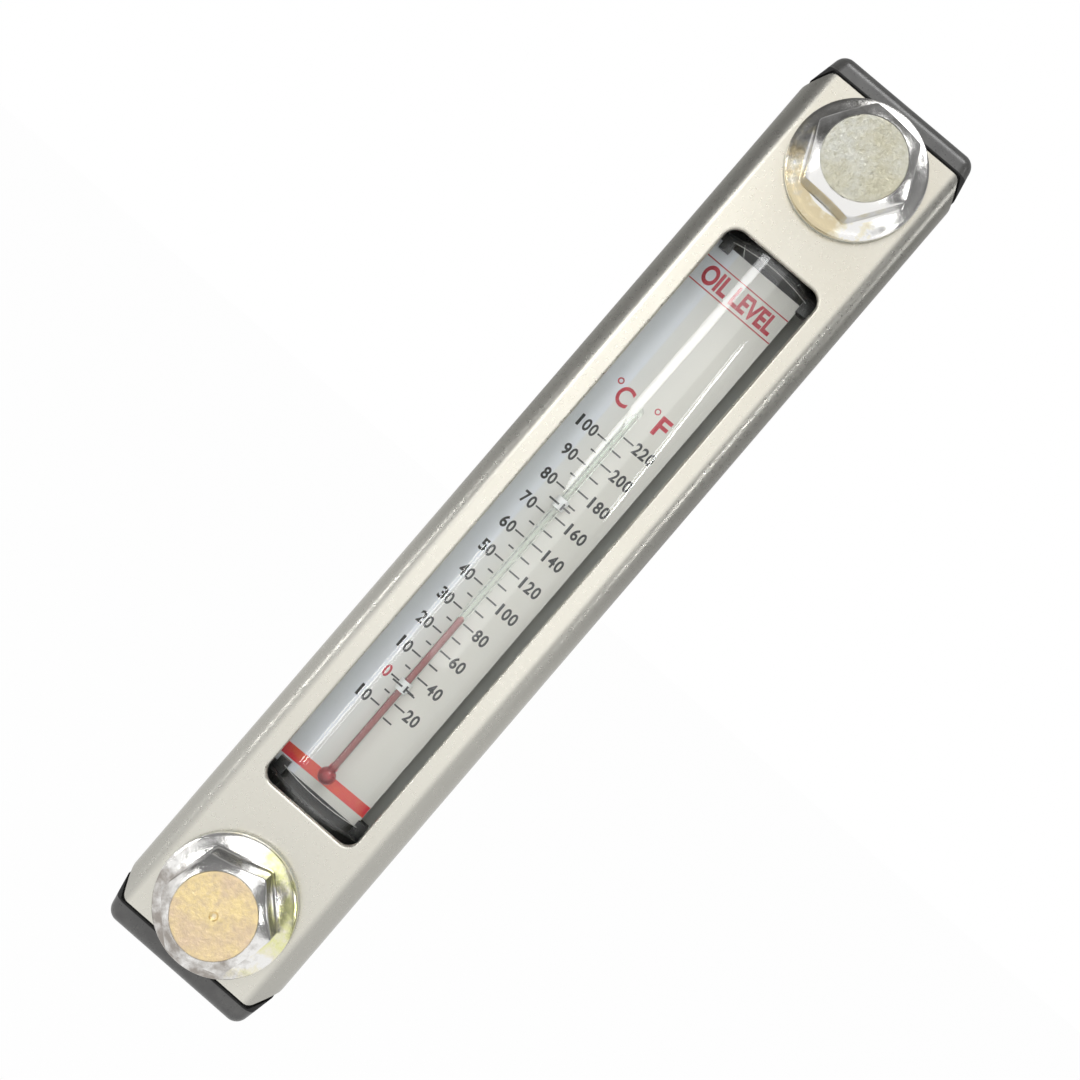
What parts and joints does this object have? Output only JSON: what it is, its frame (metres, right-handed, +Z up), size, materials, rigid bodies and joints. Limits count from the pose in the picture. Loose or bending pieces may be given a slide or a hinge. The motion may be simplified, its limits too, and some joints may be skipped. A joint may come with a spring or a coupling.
{
  "type": "tank level gauge",
  "caption": "Slim sight gauge for an oil tank: clear tube and thermometer plate under a folded sheet cover, between moulded end blocks held by hollow bolts.",
  "frame": {"origin": "on the plane of the tank wall, midway between the axes of the two hollow bolts", "axes": "+Z up along the gauge, +Y into the tank along the studs, -Y towards the viewer, X across the gauge"},
  "size_m": [0.0324, 0.0458, 0.19],
  "materials": {
    "painted_cover": "satin warm silver-cream paint on sheet steel",
    "black_moulding": "satin black moulded plastic",
    "clear_tube": "clear moulded acrylic, glossy",
    "printed_plate": "pale grey plate printed with two temperature scales",
    "clear_glass": "clear thermometer glass",
    "red_spirit": "red thermometer spirit",
    "plated_steel": "zinc plated steel with a slight yellow tint",
    "pale_washer": "off-white nylon",
    "seal_rubber": "black nitrile rubber"
  },
  "bodies": {
    "root": {"cover": "painted_cover", "upper_end_block": "black_moulding", "lower_end_block": "black_moulding", "sight_tube": "clear_tube", "scale_plate": "printed_plate", "thermometer_glass": "clear_glass", "thermometer_spirit": "red_spirit", "upper_bolt": "plated_steel", "lower_bolt": "plated_steel", "upper_head_washer": "pale_washer", "lower_head_washer": "pale_washer", "upper_bolt_ring": "seal_rubber", "lower_bolt_ring": "seal_rubber", "upper_tube_ring": "seal_rubber", "lower_tube_ring": "seal_rubber", "upper_rear_seal": "seal_rubber", "lower_rear_seal": "seal_rubber"}
  },
  "joints": []
}
